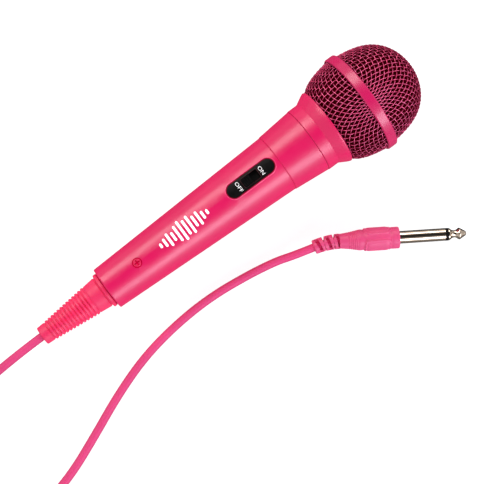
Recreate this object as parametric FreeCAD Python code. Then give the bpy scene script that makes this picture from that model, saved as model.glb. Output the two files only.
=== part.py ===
import FreeCAD, Part
import math
import os

# Wired hand microphone with a slide switch and a quarter-inch jack plug, lying on a
# surface. Millimetres. The microphone is modelled along its own axis (u, from the
# handle's rear edge towards the ball head) and is then laid down: it rests on the
# handle's rear edge and on the head's band. +X points to the head, +Z is up.

V = FreeCAD.Vector

# ---------------------------------------------------------------- driving dimensions
HANDLE_L = 103.3          # handle tube, rear edge to the seam with the head sleeve
HANDLE_R_REAR = 11.25
HANDLE_R_FRONT = 15.25
HANDLE_WALL = 2.0
HANDLE_FILLET = 0.6       # rear edge

SLEEVE_END = 122.1        # seam with the grille collar
SLEEVE_R_REAR = 15.51
SLEEVE_R_FRONT = 17.20
SPIGOT_R = 15.10          # spigot that carries the grille
SPIGOT_END = 131.5

COLLAR_R = 17.41
COLLAR_CYL_END = 127.85
COLLAR_END = 134.15
COLLAR_LIP_R = 20.28

BAND_START = 151.65
BAND_END = 156.85
BAND_R = 26.83
BAND_FILLET = 0.8

GRILLE_T = 1.0            # depth of the woven wire, crown to crown

BOOT_TIP = -38.85         # strain relief boot
BOOT_RIB_FIRST = -34.45
BOOT_RIB_PITCH = 1.91
BOOT_RIBS = 13
BOOT_BORE_R = 2.15

CORD_D = 4.2
CORD_R = CORD_D / 2

SWITCH_U = 87.2           # middle of the switch plate
PLATE_L = 27.7
PLATE_W = 8.1
SLOT_L = 9.3
SLOT_W = 4.9
KNOB_L = 4.8
KNOB_W = 4.76
SWITCH_TRAVEL = 4.4       # off at rest, on at the other end
SCREW_U = 19.3            # tail screw

PLUG_R = 3.175            # quarter-inch plug
PLUG_SLEEVE_L = 23.4
PLUG_RING_END = 25.0
PLUG_TIP_END = 34.25
PLUG_AXIS_Z = 6.05
PLUG_HEADING = -32.2      # degrees in plan

X_SHIFT = -72.581         # puts the origin under the middle of the microphone's box

COIL_C = (-146.0, -40.0)  # before the shift
COIL_R_IN = 17.2
COIL_R_OUT = 34.9
COIL_H = 17.5

# resting tilt: common tangent of the rounded rear edge and the rounded band edge
_dx = (BAND_START + BAND_FILLET) - HANDLE_FILLET
_dr = (BAND_R - BAND_FILLET) - (HANDLE_R_REAR - HANDLE_FILLET)
TILT = math.degrees(math.atan2(_dr, _dx) + math.asin((BAND_FILLET - HANDLE_FILLET) / math.hypot(_dx, _dr)))
CT, ST = math.cos(math.radians(TILT)), math.sin(math.radians(TILT))
AXIS_Z = (HANDLE_R_REAR - HANDLE_FILLET) * CT + HANDLE_FILLET - HANDLE_FILLET * ST


def r_out(u):
    return HANDLE_R_REAR + (HANDLE_R_FRONT - HANDLE_R_REAR) * (u - HANDLE_FILLET) / (HANDLE_L - HANDLE_FILLET)


def r_in(u):
    return r_out(u) - HANDLE_WALL


# ---------------------------------------------------------------- helpers
def P(u, r):
    return V(u, 0, r)


def wire(parts):
    """Closed profile in (u, r). A tuple is a straight run to that point, ("s", [...]) is a
    smooth curve from the last point through the given ones, ("a", mid, end) is an arc."""
    edges, last = [], P(*parts[0])
    first = last
    for p in parts[1:]:
        if p[0] == "s":
            pts = [last] + [P(*q) for q in p[1]]
            c = Part.BSplineCurve()
            if len(p) > 2:
                c.interpolate(Points=pts, FinalTangent=P(*p[2]), InitialTangent=P(*p[3]))
            else:
                c.interpolate(pts)
            edges.append(c.toShape())
            last = pts[-1]
        elif p[0] == "a":
            edges.append(Part.Arc(last, P(*p[1]), P(*p[2])).toShape())
            last = P(*p[2])
        else:
            q = P(*p)
            if (q - last).Length > 1e-7:
                edges.append(Part.LineSegment(last, q).toShape())
            last = q
    if (first - last).Length > 1e-7:
        edges.append(Part.LineSegment(last, first).toShape())
    return Part.Wire(edges)


def turned(parts):
    s = Part.Face(wire(parts)).revolve(V(0, 0, 0), V(1, 0, 0), 360)
    s = s if s.ShapeType == "Solid" else Part.Solid(s)
    if s.Volume < 0:
        s.reverse()
    return s


def block(x0, x1, y0, y1, z0, z1):
    return Part.makeBox(x1 - x0, y1 - y0, z1 - z0, V(x0, y0, z0))


def cyl(r, p, d, length):
    return Part.makeCylinder(r, length, V(*p), V(*d))


def offset_line(pts, d):
    """Points moved by d towards the axis side of an outward profile."""
    out = []
    for i, (u, r) in enumerate(pts):
        a, b = pts[max(i - 1, 0)], pts[min(i + 1, len(pts) - 1)]
        tu, tr = b[0] - a[0], b[1] - a[1]
        n = math.hypot(tu, tr)
        out.append((u + tr / n * d, r - tu / n * d))
    return out


def rounded_corner(c, r, quadrant):
    """mid and end of a quarter-round; centre c, from one axis direction to the next."""
    (m, e) = quadrant
    k = r * math.sqrt(0.5)
    return ("a", (c[0] + m[0] * k, c[1] + m[1] * k), (c[0] + e[0] * r, c[1] + e[1] * r))


def route_edges(points):
    """Straight runs joined by tangent arcs. Each arc takes 0.45 of its shorter run."""
    pts = [V(*p) for p in points]
    edges, radii, start = [], [], pts[0]
    for i in range(1, len(pts) - 1):
        a, b, c = pts[i - 1], pts[i], pts[i + 1]
        d1, d2 = (b - a), (c - b)
        l1, l2 = d1.Length, d2.Length
        d1.normalize()
        d2.normalize()
        turn = math.acos(max(-1.0, min(1.0, d1.dot(d2))))
        cut = 0.45 * min(l1, l2)
        radius = cut / math.tan(turn / 2)
        radii.append((round(radius, 1), round(math.degrees(turn), 1), round(min(l1, l2), 1)))
        p_in, p_out = b - d1 * cut, b + d2 * cut
        bis = d2 - d1
        bis.normalize()
        centre = b + bis * (radius / math.cos(turn / 2))
        mid = centre - bis * radius
        edges.append(Part.LineSegment(start, p_in).toShape())
        edges.append(Part.Arc(p_in, mid, p_out).toShape())
        start = p_out
    edges.append(Part.LineSegment(start, pts[-1]).toShape())
    return edges, radii


def tube(points, r, name=None):
    edges, radii = route_edges(points)
    path = Part.Wire(edges)
    d = V(*points[1]) - V(*points[0])
    prof = Part.Wire([Part.makeCircle(r, V(*points[0]), d)])
    s = path.makePipeShell([prof], True, False)
    s = s if s.ShapeType == "Solid" else Part.Solid(s)
    if s.Volume < 0:
        s.reverse()
    if name:
        print(name, "length", round(path.Length, 1), "volume ratio",
              round(s.Volume / (math.pi * r * r * path.Length), 4), "valid", s.isValid())
        print("  radii", radii)
    return s


def stadium(length, width, z0, z1):
    """Prism with round ends along x."""
    r, h = width / 2, length / 2 - width / 2
    b = block(-h, h, -r, r, z0, z1)
    for sx in (-1, 1):
        b = b.fuse(cyl(r, (sx * h, 0, z0), (0, 0, 1), z1 - z0))
    return b.removeSplitter()


def rounded_box(x0, x1, y0, y1, z0, z1, r, axis="z"):
    b = block(x0, x1, y0, y1, z0, z1)
    k = {"x": 0, "y": 1, "z": 2}[axis]
    es = [e for e in b.Edges if abs((e.Vertexes[1].Point - e.Vertexes[0].Point)[k]) > 1e-6]
    return b.makeFillet(r, es)


# ---------------------------------------------------------------- placements
LAID = FreeCAD.Placement(V(X_SHIFT, 0, AXIS_Z), FreeCAD.Rotation(V(0, 1, 0), -TILT))

_g = math.degrees(math.atan((HANDLE_R_FRONT - HANDLE_R_REAR) / (HANDLE_L - HANDLE_FILLET)))  # slope of the handle's surface
SWITCH = FreeCAD.Placement(V(SWITCH_U, 0, r_out(SWITCH_U)), FreeCAD.Rotation(V(0, 1, 0), -_g))
SCREW = FreeCAD.Placement(V(SCREW_U, 0, r_out(SCREW_U)), FreeCAD.Rotation(V(0, 1, 0), -_g))

# jack plug: s runs from the moulding's front face to the tip
PLUG_SHOULDER = (132.638 + X_SHIFT, -63.688, PLUG_AXIS_Z)
PLUG = FreeCAD.Placement(V(*PLUG_SHOULDER), FreeCAD.Rotation(V(0, 0, 1), PLUG_HEADING))


def on(placement, shape):
    s = shape.copy()
    s.transformShape(placement.toMatrix(), True)
    return s


parts = {}

# ---------------------------------------------------------------- handle tube
f = HANDLE_FILLET
handle = turned([
    (0, 7.05), (0, HANDLE_R_REAR - f),
    ("a", (f * (1 - math.sqrt(0.5)), HANDLE_R_REAR - f * (1 - math.sqrt(0.5))), (f, HANDLE_R_REAR)),
    (HANDLE_L - 0.25, r_out(HANDLE_L - 0.25)), (HANDLE_L, HANDLE_R_FRONT - 0.25),
    (HANDLE_L, r_in(HANDLE_L)), (2.6, r_in(2.6)), (2.6, 7.05)])
pocket = on(SWITCH, stadium(PLATE_L + 0.16, PLATE_W + 0.16, -1.45, 6))
opening = on(SWITCH, block(-6.5, 6.5, -2.9, 2.9, -5, 3))
posts_in = on(SWITCH, cyl(1.0, (-11.6, 0, -5), (0, 0, 1), 6).fuse(cyl(1.0, (11.6, 0, -5), (0, 0, 1), 6)))
screw_hole = on(SCREW, cyl(2.55, (0, 0, -1.1), (0, 0, 1), 4).fuse(cyl(1.6, (0, 0, -4), (0, 0, 1), 5)))
handle = handle.cut(pocket).cut(opening).cut(posts_in).cut(screw_hole)
parts["handle_tube"] = handle.Solids[0]

# ---------------------------------------------------------------- slide switch
shell = turned([(60, 5), (60, r_out(60) - 0.15), (104, r_out(104) - 0.15), (104, 5)])
plate = shell.common(on(SWITCH, stadium(PLATE_L, PLATE_W, -1.45, 6)))
plate = plate.cut(on(SWITCH, rounded_box(-SLOT_L / 2, SLOT_L / 2, -SLOT_W / 2, SLOT_W / 2, -4, 4, 0.5)))
post = cyl(0.9, (-11.6, 0, -4.6), (0, 0, 1), 3.6).fuse(cyl(0.9, (11.6, 0, -4.6), (0, 0, 1), 3.6))
plate = plate.fuse(on(SWITCH, post)).removeSplitter()
parts["switch_plate"] = plate.Solids[0]

k0 = -SLOT_L / 2 + 0.05                      # knob's rear face at rest
kc = k0 + KNOB_L / 2                         # knob's middle at rest
knob = rounded_box(k0, k0 + KNOB_L, -KNOB_W / 2, KNOB_W / 2, -1.2, 0.35, 0.45)
for i in range(4):                           # grip ridges across the knob
    x = k0 + 0.75 + i * 1.1
    ridge = Part.Face(Part.Wire(Part.makePolygon([V(x - 0.42, -2.0, 0.3), V(x - 0.16, -2.0, 0.85), V(x + 0.16, -2.0, 0.85), V(x + 0.42, -2.0, 0.3), V(x - 0.42, -2.0, 0.3)])))
    knob = knob.fuse(ridge.extrude(V(0, 4.0, 0)))
parts["switch_knob"] = on(SWITCH, knob.removeSplitter().Solids[0])

slider = block(kc - 7.0, kc + 7.0, -2.75, 2.75, -3.2, -2.45).fuse(block(kc - 1.3, kc + 1.3, -1.3, 1.3, -4.3, -1.2))
parts["switch_slider"] = on(SWITCH, slider.removeSplitter().Solids[0])
parts["switch_carrier"] = on(SWITCH, block(kc - 2.5, kc + 2.5, -2.4, 2.4, -6.9, -4.3))
bridge = block(kc - 2.3, kc + 2.3, -1.6, 1.6, -7.2, -6.9)
for sx in (-1, 1):
    bridge = bridge.fuse(block(kc + sx * 1.7 - 0.5, kc + sx * 1.7 + 0.5, -1.6, 1.6, -7.5, -7.2))
parts["switch_contact_bridge"] = on(SWITCH, bridge.removeSplitter().Solids[0])

can = block(-10.2, 10.2, -3.6, 3.6, -9.4, -3.5).cut(block(-9.7, 9.7, -3.1, 3.1, -9.5, -4.0))
can = can.cut(block(-3.8, 3.8, -1.5, 1.5, -5, -3))
for sx in (-1, 1):
    ear = block(min(sx * 10.0, sx * 13.2), max(sx * 10.0, sx * 13.2), -2.2, 2.2, -4.0, -3.5)
    can = can.fuse(ear.cut(cyl(0.95, (sx * 11.6, 0, -5), (0, 0, 1), 3)))
parts["switch_can"] = on(SWITCH, can.removeSplitter().Solids[0])

base = block(-9.65, 9.65, -3.05, 3.05, -9.4, -8.4)
pins = []
for x in (-5.4, 0.0, 5.4):
    base = base.cut(block(x - 0.62, x + 0.62, -0.27, 0.27, -10, -8))
    pins.append(block(x - 0.6, x + 0.6, -0.25, 0.25, -12.4, -8.3).fuse(block(x - 1.6, x + 1.6, -1.4, 1.4, -8.3, -7.6)).removeSplitter().Solids[0])
parts["switch_base"] = on(SWITCH, base.Solids[0])
parts["switch_terminals"] = Part.Compound([on(SWITCH, p) for p in pins])

# ---------------------------------------------------------------- head sleeve and grille
parts["head_sleeve"] = turned([
    (101.0, 11.6), (101.0, 12.75), (101.2, 12.9), (HANDLE_L, 12.9), (HANDLE_L, SLEEVE_R_REAR - 0.25),
    (HANDLE_L + 0.25, SLEEVE_R_REAR), (SLEEVE_END - 0.25, SLEEVE_R_FRONT), (SLEEVE_END, SLEEVE_R_FRONT - 0.25),
    (SLEEVE_END, SPIGOT_R), (SPIGOT_END, SPIGOT_R), (SPIGOT_END, 13.3), (112, 13.3), (109, 11.6)])

parts["grille_collar"] = turned([
    (SLEEVE_END, 15.2), (SLEEVE_END, COLLAR_R - 0.22), (SLEEVE_END + 0.22, COLLAR_R), (COLLAR_CYL_END, COLLAR_R),
    ("s", [(128.55, 17.83), (130.5, 18.92), (132.4, 19.92), (133.3, COLLAR_LIP_R)]),
    ("a", (133.98, 20.16), (COLLAR_END, 19.95)), (COLLAR_END, 19.80), (131.85, 18.0), (131.75, 17.2), (129.6, 15.2)])

BOWL = [(131.9, 17.92), (134.15, 19.72), (136.5, 21.55), (138.4, 22.6), (140.4, 23.45), (142.4, 24.1),
        (144.4, 24.62), (146.3, 25.05), (148.3, 25.4), (150.3, 25.72), (152.0, 25.9), (153.7, 25.93)]
DOME = [(154.95, 25.57), (158.2, 25.35), (160.2, 25.1), (162.2, 24.8), (164.2, 24.43), (166.2, 23.98), (168.1, 23.43),
        (170.1, 22.75), (172.1, 21.87), (174.1, 20.78), (176.1, 19.38), (178.1, 17.6), (180.1, 15.3), (182.1, 12.1),
        (183.6, 8.6), (184.62, 4.7), (185.0, 0.0)]


def skin(pts, d0, d1, closed_at_axis):
    """Shell between two offsets of an outer profile."""
    a = offset_line(pts, d0) if d0 else list(pts)
    b = offset_line(pts, d1)
    if closed_at_axis:
        a[-1] = (pts[-1][0] - d0, 0.0)
        b[-1] = (pts[-1][0] - d1, 0.0)
        ca, cb = Part.BSplineCurve(), Part.BSplineCurve()
        ca.interpolate(Points=[P(*q) for q in a], InitialTangent=P(a[1][0] - a[0][0], a[1][1] - a[0][1]), FinalTangent=P(0, -8))
        cb.interpolate(Points=[P(*q) for q in b], InitialTangent=P(b[1][0] - b[0][0], b[1][1] - b[0][1]), FinalTangent=P(0, -8))
    else:
        ca, cb = Part.BSplineCurve(), Part.BSplineCurve()
        ca.interpolate([P(*q) for q in a])
        cb.interpolate([P(*q) for q in b])
    w = Part.Wire([ca.toShape(), Part.LineSegment(P(*a[-1]), P(*b[-1])).toShape(), cb.toShape(),
                   Part.LineSegment(P(*b[0]), P(*a[0])).toShape()])
    s = Part.Face(w).revolve(V(0, 0, 0), V(1, 0, 0), 360)
    s = s if s.ShapeType == "Solid" else Part.Solid(s)
    if s.Volume < 0:
        s.reverse()
    return s


parts["grille_bowl"] = skin(BOWL, 0, GRILLE_T, False)
parts["grille_dome"] = skin(DOME, 0, GRILLE_T, True)
b = BAND_FILLET
parts["grille_band"] = turned([
    (BAND_START, 26.0), (BAND_START, BAND_R - b),
    ("a", (BAND_START + b * (1 - math.sqrt(0.5)), BAND_R - b * (1 - math.sqrt(0.5))), (BAND_START + b, BAND_R)),
    (BAND_END - b, BAND_R),
    ("a", (BAND_END - b * (1 - math.sqrt(0.5)), BAND_R - b * (1 - math.sqrt(0.5))), (BAND_END, BAND_R - b)),
    (BAND_END, 25.66), (154.8, 25.66), (154.8, 24.3), (153.8, 24.3), (153.8, 26.0)])
parts["foam_bowl"] = skin(BOWL[1:], GRILLE_T + 0.1, GRILLE_T + 2.6, False)
parts["foam_dome"] = skin([(157.1, 25.43)] + DOME[1:], GRILLE_T + 0.1, GRILLE_T + 2.6, True)

# ---------------------------------------------------------------- dynamic capsule
parts["capsule_ring"] = turned([
    (128.5, 12.3), (128.5, 13.2), (SPIGOT_END + 0.05, 13.2), (SPIGOT_END + 0.05, 14.6), (137.6, 14.6), (138.2, 14.0), (138.2, 12.3)])
parts["capsule_body"] = turned([
    (126, 2.5), (126, 12.2), (142, 12.2), (142, 11.2), (138.1, 11.2), (138.1, 8.6), (129, 8.6), (129, 2.5)])
cover = turned([(142.02, 0), (142.02, 12.2), (143.0, 12.2), (143.6, 11.6), (143.6, 0)])
for i in range(6):
    a = math.radians(60 * i)
    cover = cover.cut(cyl(1.3, (141, 7 * math.cos(a), 7 * math.sin(a)), (1, 0, 0), 4))
cover = cover.cut(cyl(1.3, (141, 0, 0), (1, 0, 0), 4))
parts["capsule_cover"] = cover.Solids[0]
parts["capsule_yoke"] = turned([(129.02, 0), (129.02, 8.55), (138.0, 8.55), (138.0, 6.2), (131.0, 6.2), (131.0, 0)])
parts["capsule_magnet"] = turned([(131.02, 0), (131.02, 4.3), (135.5, 4.3), (135.5, 0)])
parts["capsule_pole"] = turned([(135.52, 0), (135.52, 4.7), (138.0, 4.7), (138.0, 0)])
parts["voice_coil"] = turned([(136.6, 5.1), (136.6, 5.7), (140.2, 5.7), (140.2, 5.1)])
parts["diaphragm"] = turned([
    (140.22, 0), (140.22, 5.9), (139.9, 8.4), (140.3, 10.2), (140.3, 11.1), (140.5, 11.1), (140.5, 10.2), (140.1, 8.4), (140.42, 5.9), (140.42, 0)])
lugs = [block(123.6, 126.0, y - 0.9, y + 0.9, 5.2, 5.6) for y in (-4.0, 4.0)]
parts["capsule_terminals"] = Part.Compound(lugs)

# ---------------------------------------------------------------- wiring
W = SWITCH.multVec
t_on, t_mid, t_off = W(V(5.4, 0, -12.5)), W(V(0, 0, -12.5)), W(V(-5.4, 0, -12.5))
lead = [
    tube([(t_on.x, 0.0, t_on.z - 0.4), (t_on.x + 2.5, 0.6, t_on.z - 2.4), (105, 3.0, -2.0), (115, 4.2, 1.0), (123.4, 4.0, 5.4)], 0.45),
    tube([(t_mid.x, 0.0, t_mid.z - 0.4), (t_mid.x + 1.5, -1.2, t_mid.z - 3.0), (102, -4.2, -3.5), (114, -4.8, 0.5), (123.4, -4.0, 5.4)], 0.45)]
parts["capsule_leads"] = Part.Compound(lead)
cores = [
    tube([(27.2, 1.0, 0), (36, 2.2, 0.4), (58, 2.5, -1.5), (76, 1.5, -1.2), (t_off.x, 0.9, t_off.z - 0.9)], 0.5),
    tube([(27.2, -1.0, 0), (37, -2.4, -0.8), (60, -3.0, -3.2), (80, -2.6, -3.6), (t_mid.x - 0.8, -1.2, t_mid.z - 1.2)], 0.5)]
parts["cord_cores"] = Part.Compound(cores)

# ---------------------------------------------------------------- tail
tail = turned([(4.75, 4.6), (4.75, r_in(4.75) - 0.05), (27, r_in(27) - 0.05), (27, 2.15), (12, 2.15), (12, 4.6)])
tail = tail.cut(on(SCREW, cyl(1.5, (0, 0, -8.2), (0, 0, 1), 12)))
parts["tail_block"] = tail.Solids[0]
screw = cyl(2.45, (0, 0, -1.08), (0, 0, 1), 0.9).fuse(cyl(1.45, (0, 0, -7.8), (0, 0, 1), 6.8))
screw = screw.makeFillet(0.25, [e for e in screw.Edges if abs(e.BoundBox.ZMin + 0.18) < 1e-6 and abs(e.BoundBox.ZMax + 0.18) < 1e-6])
screw = screw.cut(block(-1.4, 1.4, -0.28, 0.28, -0.85, 1)).cut(block(-0.28, 0.28, -1.4, 1.4, -0.85, 1))
parts["tail_screw"] = on(SCREW, screw.Solids[0])


def boot_r(u):                               # rib roots
    return 4.72 + 0.1056 * (u + 33.6)


prof = [(BOOT_TIP, BOOT_BORE_R), (BOOT_TIP, 4.35), ("a", (BOOT_TIP + 0.12, 4.63), (BOOT_TIP + 0.4, 4.75)), (BOOT_RIB_FIRST, 4.95)]
for i in range(BOOT_RIBS):
    u0 = BOOT_RIB_FIRST + i * BOOT_RIB_PITCH
    prof += [(u0 + 0.12, boot_r(u0) + 0.0), (u0 + 0.62, boot_r(u0 + 0.6)), (u0 + 0.80, boot_r(u0 + 0.8) + 0.42), (u0 + 1.78, boot_r(u0 + 1.8) + 0.42)]
    prof += [(u0 + 1.91, boot_r(u0 + 1.9) + 0.05)]
u1 = BOOT_RIB_FIRST + BOOT_RIBS * BOOT_RIB_PITCH
prof += [(u1 + 0.45, boot_r(u1) + 0.0), (u1 + 0.65, 7.55), (-6.3, 7.95), (-2.1, 8.32), (-2.1, 9.1), (-1.9, 9.32), (-1.0, 9.32), (-0.8, 9.1), (-0.8, 6.95),
         (2.65, 6.95), (2.65, 8.6), (4.65, 8.6), (4.65, 4.5), (11.5, 4.5), (11.5, BOOT_BORE_R)]
parts["strain_relief_boot"] = turned(prof)
parts["cord_inner_end"] = cyl(CORD_R, (BOOT_TIP, 0, 0), (1, 0, 0), 27.0 - BOOT_TIP)

for n in list(parts):
    parts[n] = on(LAID, parts[n])

# ---------------------------------------------------------------- jack plug
plug = {}
plug["plug_sleeve"] = turned([(-10, 1.9), (-10, 2.95), (0.0, 2.95), (0.0, PLUG_R), (PLUG_SLEEVE_L, PLUG_R), (PLUG_SLEEVE_L, 1.9)])
plug["plug_insulator"] = turned([(-12, 0.95), (-12, 1.85), (PLUG_SLEEVE_L + 0.02, 1.85), (PLUG_SLEEVE_L + 0.02, PLUG_R), (PLUG_RING_END, PLUG_R), (PLUG_RING_END, 0.95)])
plug["plug_tip"] = turned([
    (PLUG_RING_END + 0.02, 0), (PLUG_RING_END + 0.02, 3.12), (25.55, 3.12), (26.6, 2.3), ("s", [(27.3, 1.98), (28.3, 1.82), (29.1, 2.02), (29.75, 2.5)]),
    (30.3, 2.88), ("a", (30.65, 2.97), (31.0, 2.88)), (33.7, 1.22), ("a", (34.1, 0.85), (PLUG_TIP_END, 0.3)), (PLUG_TIP_END, 0)])
plug["plug_tip_rod"] = cyl(0.9, (-14, 0, 0), (1, 0, 0), 14 + PLUG_RING_END)
BODY = [(-30.0, 3.68), (-29.2, 3.72), (-27.8, 3.88), (-26.6, 4.04), (-25.2, 4.26), (-24.2, 4.44), (-23.2, 4.63), (-22.2, 4.83), (-21.2, 5.03), (-20.2, 5.21),
        (-19.2, 5.36), (-18.1, 5.46), (-17.1, 5.62), (-16.1, 5.79), (-15.1, 5.88), (-12.0, 5.87), (-9.0, 5.88), (-7.0, 5.90), (-6.0, 5.78), (-5.0, 5.56), (-4.3, 5.46)]
body = turned([(-30.0, 0), BODY[0], ("s", BODY[1:]), (-0.4, 5.45), ("a", (-0.12, 5.33), (0, 5.05)), (0, 3.0), (-10.05, 3.0), (-10.05, 2.0), (-12.05, 2.0), (-12.05, 1.0), (-14.05, 1.0), (-14.05, 0)])
plug["plug_body"] = body
for n in plug:
    parts[n] = on(PLUG, plug[n])

# flexible relief behind the plug's moulding: bends from the plug's line to the cord's
hx, hy = math.cos(math.radians(PLUG_HEADING)), math.sin(math.radians(PLUG_HEADING))
sx, sy, sz = PLUG_SHOULDER
R0 = V(sx - 30.02 * hx, sy - 30.02 * hy, sz)
R1 = R0 + V(-hx, -hy, 0) * 6.0
_d2 = V(-0.962, 0.250, -0.110)
_d2.normalize()
R2 = R1 + _d2 * 7.0
secs = []
N = 8
for i in range(N + 1):
    t = i / N
    c = R0 * ((1 - t) ** 2) + R1 * (2 * t * (1 - t)) + R2 * (t * t)
    d = (R1 - R0) * (2 * (1 - t)) + (R2 - R1) * (2 * t)
    r = 3.85 - 0.25 * t
    secs.append(Part.Wire([Part.makeCircle(r, c, d)]))
parts["plug_relief"] = Part.makeLoft(secs, True, False)

# ---------------------------------------------------------------- free cord
BOOT_END = LAID.multVec(V(BOOT_TIP, 0, 0))
S = X_SHIFT
MIC_RUN = [
    (BOOT_END.x, 0.0, BOOT_END.z),
    (-48.6 + S, -0.10, 6.15),
    (-63.0 + S, -0.55, 3.25),
    (-80.0 + S, -1.9, 2.15),
    (-100.0 + S, -4.6, 2.10),
    (-122.0 + S, -6.9, 2.12),
    (-141.0 + S, -7.45, 2.14),
]
PLUG_RUN = [
    (-151.0 + S, -72.55, 15.30),
    (-136.0 + S, -72.60, 15.20),
    (-119.0 + S, -71.60, 11.40),
    (-101.0 + S, -69.50, 4.90),
    (-84.0 + S, -66.60, 2.15),
    (-65.5 + S, -62.00, 2.10),
    (-46.0 + S, -53.70, 2.10),
    (-26.0 + S, -44.60, 2.10),
    (-5.0 + S, -37.20, 2.10),
    (16.5 + S, -33.40, 2.10),
    (38.6 + S, -32.20, 2.10),
    (60.0 + S, -34.20, 2.12),
    (76.5 + S, -37.10, 3.05),
    tuple(R2 + _d2 * 11.0),
    (R2.x, R2.y, R2.z),
]
parts["cord_mic_run"] = tube(MIC_RUN, CORD_R, "cord_mic_run")
parts["cord_plug_run"] = tube(PLUG_RUN, CORD_R, "cord_plug_run")
print("last points", PLUG_RUN[-2:])
print("boot end", BOOT_END, "relief end", R2, "tilt", TILT, "axis z", AXIS_Z)

cx, cy = COIL_C[0] + S, COIL_C[1]
q = 2.0
ring = Part.Face(Part.Wire([
    Part.Arc(V(COIL_R_IN, 0, q), V(COIL_R_IN + q * (1 - math.sqrt(0.5)), 0, q * (1 - math.sqrt(0.5))), V(COIL_R_IN + q, 0, 0)).toShape(),
    Part.LineSegment(V(COIL_R_IN + q, 0, 0), V(COIL_R_OUT - q, 0, 0)).toShape(),
    Part.Arc(V(COIL_R_OUT - q, 0, 0), V(COIL_R_OUT - q * (1 - math.sqrt(0.5)), 0, q * (1 - math.sqrt(0.5))), V(COIL_R_OUT, 0, q)).toShape(),
    Part.LineSegment(V(COIL_R_OUT, 0, q), V(COIL_R_OUT, 0, COIL_H - q)).toShape(),
    Part.Arc(V(COIL_R_OUT, 0, COIL_H - q), V(COIL_R_OUT - q * (1 - math.sqrt(0.5)), 0, COIL_H - q * (1 - math.sqrt(0.5))), V(COIL_R_OUT - q, 0, COIL_H)).toShape(),
    Part.LineSegment(V(COIL_R_OUT - q, 0, COIL_H), V(COIL_R_IN + q, 0, COIL_H)).toShape(),
    Part.Arc(V(COIL_R_IN + q, 0, COIL_H), V(COIL_R_IN + q * (1 - math.sqrt(0.5)), 0, COIL_H - q * (1 - math.sqrt(0.5))), V(COIL_R_IN, 0, COIL_H - q)).toShape(),
    Part.LineSegment(V(COIL_R_IN, 0, COIL_H - q), V(COIL_R_IN, 0, q)).toShape()])).revolve(V(0, 0, 0), V(0, 0, 1), 360)
ring = ring if ring.ShapeType == "Solid" else Part.Solid(ring)
if ring.Volume < 0:
    ring.reverse()
ring.translate(V(cx, cy, 0))
parts["cord_coil"] = ring
# tie strap round the bundle, on the side away from the microphone
to = block(cx - COIL_R_OUT - 1.0, cx - COIL_R_IN + 1.0, cy - 4, cy + 4, 0.0, COIL_H + 1.0)
ti = block(cx - COIL_R_OUT - 0.05, cx - COIL_R_IN + 0.05, cy - 5, cy + 5, 0.95, COIL_H + 0.05)
parts["coil_tie"] = to.cut(ti).Solids[0]

# ---------------------------------------------------------------- export
os.makedirs("parts", exist_ok=True)
for old in os.listdir("parts"):
    if old.endswith(".step") and old[:-5] not in parts:
        os.remove(os.path.join("parts", old))
box = None
cord_nodes = {"cord_mic_run", "cord_plug_run", "cord_coil", "coil_tie", "plug_relief", "plug_body", "plug_sleeve", "plug_insulator", "plug_tip", "plug_tip_rod"}
for n, s in sorted(parts.items()):
    s.exportStep("parts/%s.step" % n)
    bb = s.BoundBox
    print("%-24s solids %d vol %9.2f valid %s  x %.2f..%.2f y %.2f..%.2f z %.2f..%.2f" % (
        n, len(s.Solids), s.Volume, s.isValid(), bb.XMin, bb.XMax, bb.YMin, bb.YMax, bb.ZMin, bb.ZMax))
mic = Part.Compound([s for n, s in parts.items() if n not in cord_nodes])
ob = mic.optimalBoundingBox(False)
print("microphone box", ob, "x centre", (ob.XMin + ob.XMax) / 2, "zmin", ob.ZMin)
allb = Part.Compound(list(parts.values())).optimalBoundingBox(False)
print("whole box", allb)
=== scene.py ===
import bpy
import math
import numpy as np
from mathutils import Matrix, Vector, noise


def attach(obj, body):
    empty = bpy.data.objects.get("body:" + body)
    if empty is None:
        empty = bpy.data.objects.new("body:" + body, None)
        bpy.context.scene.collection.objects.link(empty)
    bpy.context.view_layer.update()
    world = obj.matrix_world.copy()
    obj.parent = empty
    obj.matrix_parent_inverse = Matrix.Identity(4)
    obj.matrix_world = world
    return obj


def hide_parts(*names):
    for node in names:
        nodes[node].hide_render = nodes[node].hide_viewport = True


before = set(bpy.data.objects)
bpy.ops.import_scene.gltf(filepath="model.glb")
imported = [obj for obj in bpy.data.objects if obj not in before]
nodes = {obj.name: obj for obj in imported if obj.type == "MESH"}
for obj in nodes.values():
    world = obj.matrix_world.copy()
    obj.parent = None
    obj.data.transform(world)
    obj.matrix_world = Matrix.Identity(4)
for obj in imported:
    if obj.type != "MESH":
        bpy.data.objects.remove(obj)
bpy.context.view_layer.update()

MM = 0.001
col = bpy.context.scene.collection


# ------------------------------------------------------------------ places
TILT = math.radians(5.858512)
CT, ST = math.cos(TILT), math.sin(TILT)
XS, AZ = -72.581, 11.133132


def mic(u, v, w):
    """A point of the microphone's own frame (mm) in the row frame (m)."""
    return ((u * CT - w * ST + XS) * MM, v * MM, (u * ST + w * CT + AZ) * MM)


def mic_np(p):
    p = np.asarray(p, float)
    return np.stack([p[:, 0] * CT - p[:, 2] * ST + XS, p[:, 1], p[:, 0] * ST + p[:, 2] * CT + AZ], 1) * MM


def r_out(u):
    return 11.25 + 4.0 * (u - 0.6) / 102.7


PH = math.radians(-32.2)
PHX, PHY = math.cos(PH), math.sin(PH)
SHOULDER = (60.057, -63.688, 6.05)


def plug(s, a, b):
    """A point of the plug's frame (mm): s along it, a to its left, b up."""
    return ((SHOULDER[0] + s * PHX - a * PHY) * MM, (SHOULDER[1] + s * PHY + a * PHX) * MM, (SHOULDER[2] + b) * MM)


def smooth(x, a, b):
    t = min(1.0, max(0.0, (x - a) / (b - a)))
    return t * t * (3 - 2 * t)


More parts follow.
